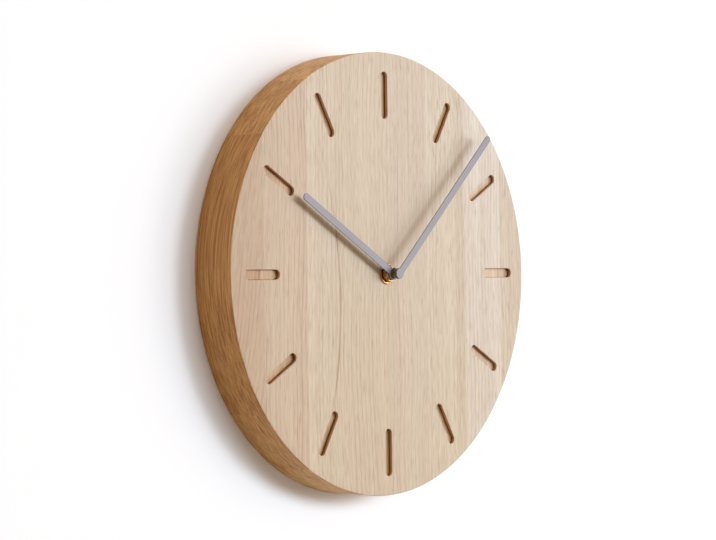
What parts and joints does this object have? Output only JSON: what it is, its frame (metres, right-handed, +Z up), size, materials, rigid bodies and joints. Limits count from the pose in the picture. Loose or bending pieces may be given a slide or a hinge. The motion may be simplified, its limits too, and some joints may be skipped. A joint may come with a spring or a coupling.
{
  "type": "wall clock",
  "caption": "Round solid-oak wall clock with routed radial hour slots, flat bar hands, and a battery quartz movement with its full gear train in a rear pocket.",
  "frame": {"origin": "where the wall screw bears at the top of the keyhole's slot, in the plane of the wooden back", "axes": "+Z up, +Y into the wall and along the hands' axis, face towards -Y, +X to the right as the face is seen"},
  "size_m": [0.3, 0.0441, 0.3],
  "materials": {
    "oak": "oiled, matte",
    "hand_paint": "satin",
    "brass": "turned",
    "steel": "zinc plated",
    "black_plastic": "moulded",
    "white_plastic": "moulded",
    "rubber": "matte",
    "copper": "enamelled wire",
    "magnet": "sintered",
    "board": "solder mask",
    "resin": "gloss",
    "cell": "sleeved"
  },
  "bodies": {
    "clock_case": {"case_body": "oak", "keyhole_plate": "steel", "plate_screw_lower": "steel", "plate_screw_upper": "steel", "gasket": "rubber", "movement_base": "black_plastic", "threaded_bush": "brass", "face_washer": "brass", "fixing_nut": "brass", "middle_plate": "white_plastic", "stator": "steel", "coil_core": "steel", "coil_bobbin": "white_plastic", "coil_winding": "copper", "circuit_board": "board", "chip": "resin", "quartz_crystal": "steel", "battery": "cell", "positive_contact": "steel", "negative_contact": "steel", "back_cover": "black_plastic"},
    "minute_train": {"minute_hand": "hand_paint", "minute_hand_collet": "brass", "minute_arbor": "brass", "centre_wheel": "white_plastic", "clutch_spring": "steel"},
    "hour_train": {"hour_hand": "hand_paint", "hour_hand_collet": "brass", "hour_wheel": "white_plastic"},
    "motion_wheel": {"minute_wheel": "white_plastic"},
    "setter": {"setting_knob": "white_plastic"},
    "third_train": {"third_wheel": "white_plastic"},
    "seconds_train": {"seconds_wheel": "white_plastic"},
    "intermediate_train": {"intermediate_wheel": "white_plastic"},
    "rotor": {"rotor_pinion": "white_plastic", "rotor_magnet": "magnet"}
  },
  "joints": [
    {"name": "minute_hand_turn", "type": "hinge", "parent": "clock_case", "child": "minute_train", "pos_m": [0, 0, -0.1092], "axis": [0, 1, 0], "continuous": true},
    {"name": "hour_hand_turn", "type": "hinge", "parent": "clock_case", "child": "hour_train", "pos_m": [0, 0, -0.1092], "axis": [0, 1, 0], "continuous": true},
    {"name": "minute_wheel_turn", "type": "hinge", "parent": "clock_case", "child": "motion_wheel", "pos_m": [0.00744, 0, -0.11191], "axis": [0, 1, 0], "continuous": true},
    {"name": "setting_knob_turn", "type": "hinge", "parent": "clock_case", "child": "setter", "pos_m": [0.01536, 0, -0.11191], "axis": [0, 1, 0], "continuous": true},
    {"name": "third_wheel_turn", "type": "hinge", "parent": "clock_case", "child": "third_train", "pos_m": [0.00548, 0, -0.0997], "axis": [0, 1, 0], "continuous": true},
    {"name": "seconds_wheel_turn", "type": "hinge", "parent": "clock_case", "child": "seconds_train", "pos_m": [0, 0, -0.1092], "axis": [0, 1, 0], "continuous": true},
    {"name": "intermediate_wheel_turn", "type": "hinge", "parent": "clock_case", "child": "intermediate_train", "pos_m": [-0.00841, 0, -0.10214], "axis": [0, 1, 0], "continuous": true},
    {"name": "rotor_turn", "type": "hinge", "parent": "clock_case", "child": "rotor", "pos_m": [-0.01042, 0, -0.09464], "axis": [0, 1, 0], "continuous": true}
  ],
  "couplings": [
    {"joint": "hour_hand_turn", "follows": "minute_hand_turn", "ratio": 0.083333},
    {"joint": "minute_wheel_turn", "follows": "minute_hand_turn", "ratio": -0.33333},
    {"joint": "setting_knob_turn", "follows": "minute_hand_turn", "ratio": 1},
    {"joint": "third_wheel_turn", "follows": "minute_hand_turn", "ratio": -8},
    {"joint": "seconds_wheel_turn", "follows": "minute_hand_turn", "ratio": 60},
    {"joint": "intermediate_wheel_turn", "follows": "minute_hand_turn", "ratio": -300},
    {"joint": "rotor_turn", "follows": "minute_hand_turn", "ratio": 1800}
  ]
}
